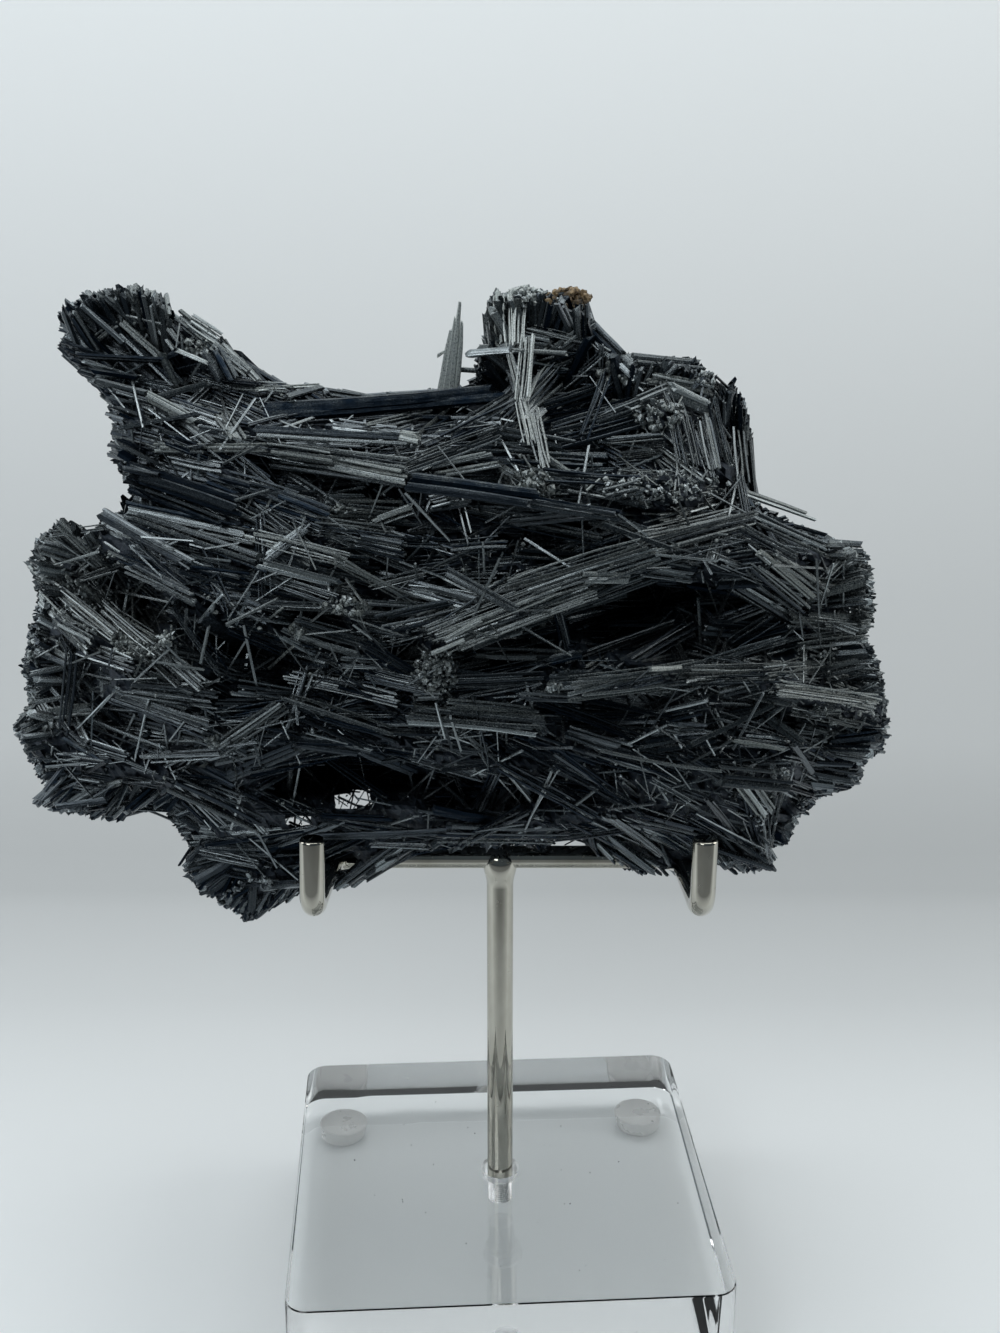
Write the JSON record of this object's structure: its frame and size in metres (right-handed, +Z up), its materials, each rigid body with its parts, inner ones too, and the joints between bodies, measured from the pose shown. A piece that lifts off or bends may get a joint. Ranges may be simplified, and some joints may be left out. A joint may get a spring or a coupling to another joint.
{
  "type": "stibnite specimen on stand",
  "caption": "Stibnite crystal cluster of dark blades and needles resting on a chrome two-prong cradle over a clear acrylic block.",
  "frame": {"origin": "the middle of the whole object's footprint box, on the surface that the bumpers stand on", "axes": "+Z up, +X to the right along the cradle's crossbar, +Y to the rear, away from the prongs"},
  "size_m": [0.1598, 0.0802, 0.1853],
  "materials": {
    "stibnite": "dark blue-grey metallic blades with dusty, silvery edges",
    "acrylic": "clear, polished",
    "chrome": "bright plated rod",
    "bumper": "clear, slightly cloudy"
  },
  "bodies": {
    "root": {"stibnite_cluster": "stibnite", "acrylic_block": "acrylic", "post": "chrome", "cradle": "chrome", "foot_front_left": "bumper", "foot_front_right": "bumper", "foot_rear_left": "bumper", "foot_rear_right": "bumper"}
  },
  "joints": []
}
